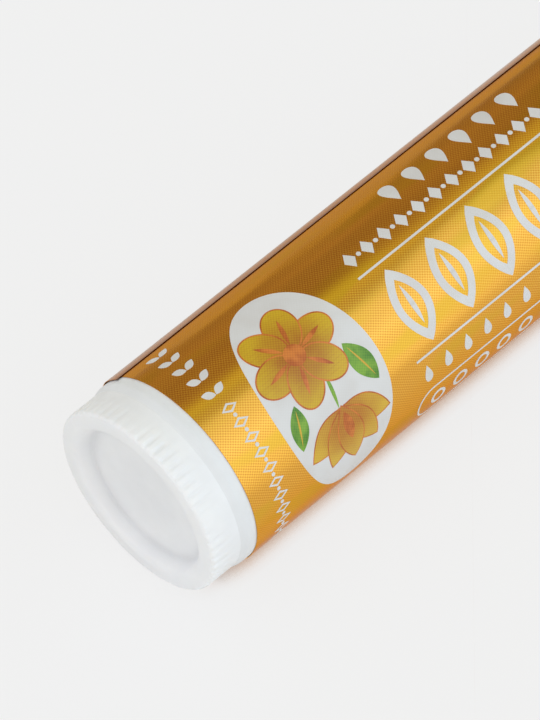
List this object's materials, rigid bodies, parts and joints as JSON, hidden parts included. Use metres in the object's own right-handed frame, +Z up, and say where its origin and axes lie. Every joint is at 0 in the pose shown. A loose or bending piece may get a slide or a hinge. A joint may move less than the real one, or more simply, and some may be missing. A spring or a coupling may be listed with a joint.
{
  "type": "lip balm stick",
  "caption": "Twist-up lip balm stick: ribbed turning wheel with a screw, labelled barrel, carriage, balm and a pull-off cap.",
  "frame": {"origin": "bottom centre of the closed stick lying on its side", "axes": "+X along the stick from the turning wheel to the cap, +Z up from the surface it lies on"},
  "size_m": [0.068, 0.016, 0.016],
  "materials": {
    "white_plastic": "satin moulded polypropylene",
    "wheel_plastic": "satin moulded polypropylene",
    "cap_plastic": "satin moulded polypropylene",
    "natural_plastic": "natural moulded polypropylene",
    "metallised_film": "gold metallised film with a fine embossed line texture",
    "label_ink": "screen-printed ink",
    "wax": "cast wax"
  },
  "bodies": {
    "barrel": {"barrel": "white_plastic", "wrap_label": "metallised_film"},
    "wheel": {"turning_wheel": "wheel_plastic"},
    "carriage": {"carriage": "natural_plastic", "balm": "wax"},
    "cap": {"cap": "cap_plastic"}
  },
  "joints": [
    {"name": "wheel_turn", "type": "hinge", "parent": "barrel", "child": "wheel", "pos_m": [0, 0, 0.008], "axis": [1, 0, 0], "range_deg": [0, 3060]},
    {"name": "balm_lift", "type": "slide", "parent": "barrel", "child": "carriage", "axis": [1, 0, 0], "range_m": [0, 0.0425]},
    {"name": "cap_pull", "type": "slide", "parent": "carriage", "child": "cap", "axis": [1, 0, 0], "range_m": [0, 0.03]}
  ],
  "couplings": [
    {"joint": "wheel_turn", "follows": "balm_lift", "rad_per_m": 1256.6}
  ]
}
